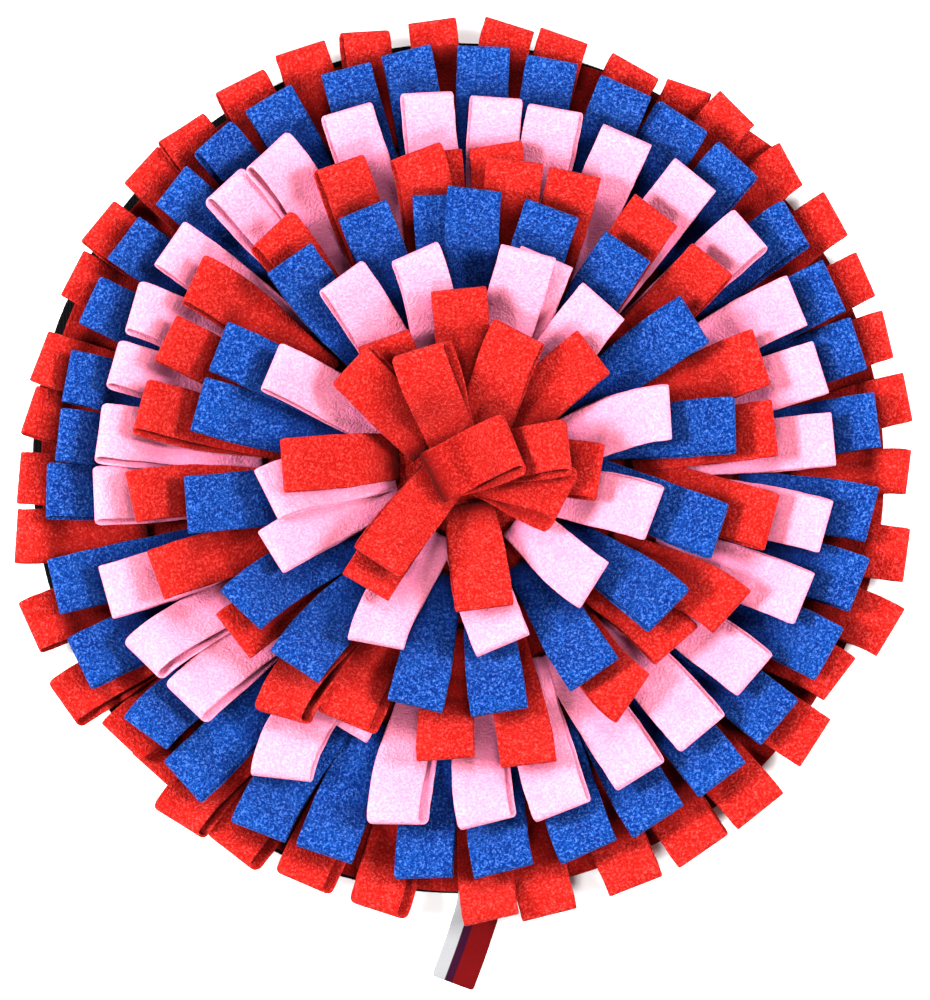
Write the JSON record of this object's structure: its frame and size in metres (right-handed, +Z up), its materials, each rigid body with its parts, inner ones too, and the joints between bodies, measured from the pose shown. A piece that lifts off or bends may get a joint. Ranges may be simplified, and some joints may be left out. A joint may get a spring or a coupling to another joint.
{
  "type": "snuffle mat",
  "caption": "Round snuffle mat for pets: a cloth base covered by overlapping rings of folded fleece loops in red, blue and pink that hide dry treats.",
  "frame": {"origin": "middle of the flat underside of the backing cloth", "axes": "+Z up through the mat; -Y points to the side where the ribbon label comes out; +X to the right seen from above"},
  "size_m": [0.5044, 0.5465, 0.0422],
  "materials": {
    "fleece_red": "matte red fleece with a short curly nap",
    "fleece_blue": "matte blue fleece with a short curly nap",
    "fleece_pink": "matte pale pink fleece with a short curly nap",
    "backing_black": "matte black woven backing",
    "label_ribbon": "satin ribbon in plain white, plum and dark red stripes"
  },
  "bodies": {
    "root": {"backing": "backing_black", "ground_cloth": "fleece_red", "ring_1_red": "fleece_red", "ring_2_blue": "fleece_blue", "ring_3_pink": "fleece_pink", "ring_4_red": "fleece_red", "ring_5_blue": "fleece_blue", "ring_6_pink": "fleece_pink", "rosette_red": "fleece_red", "label": "label_ribbon"}
  },
  "joints": []
}
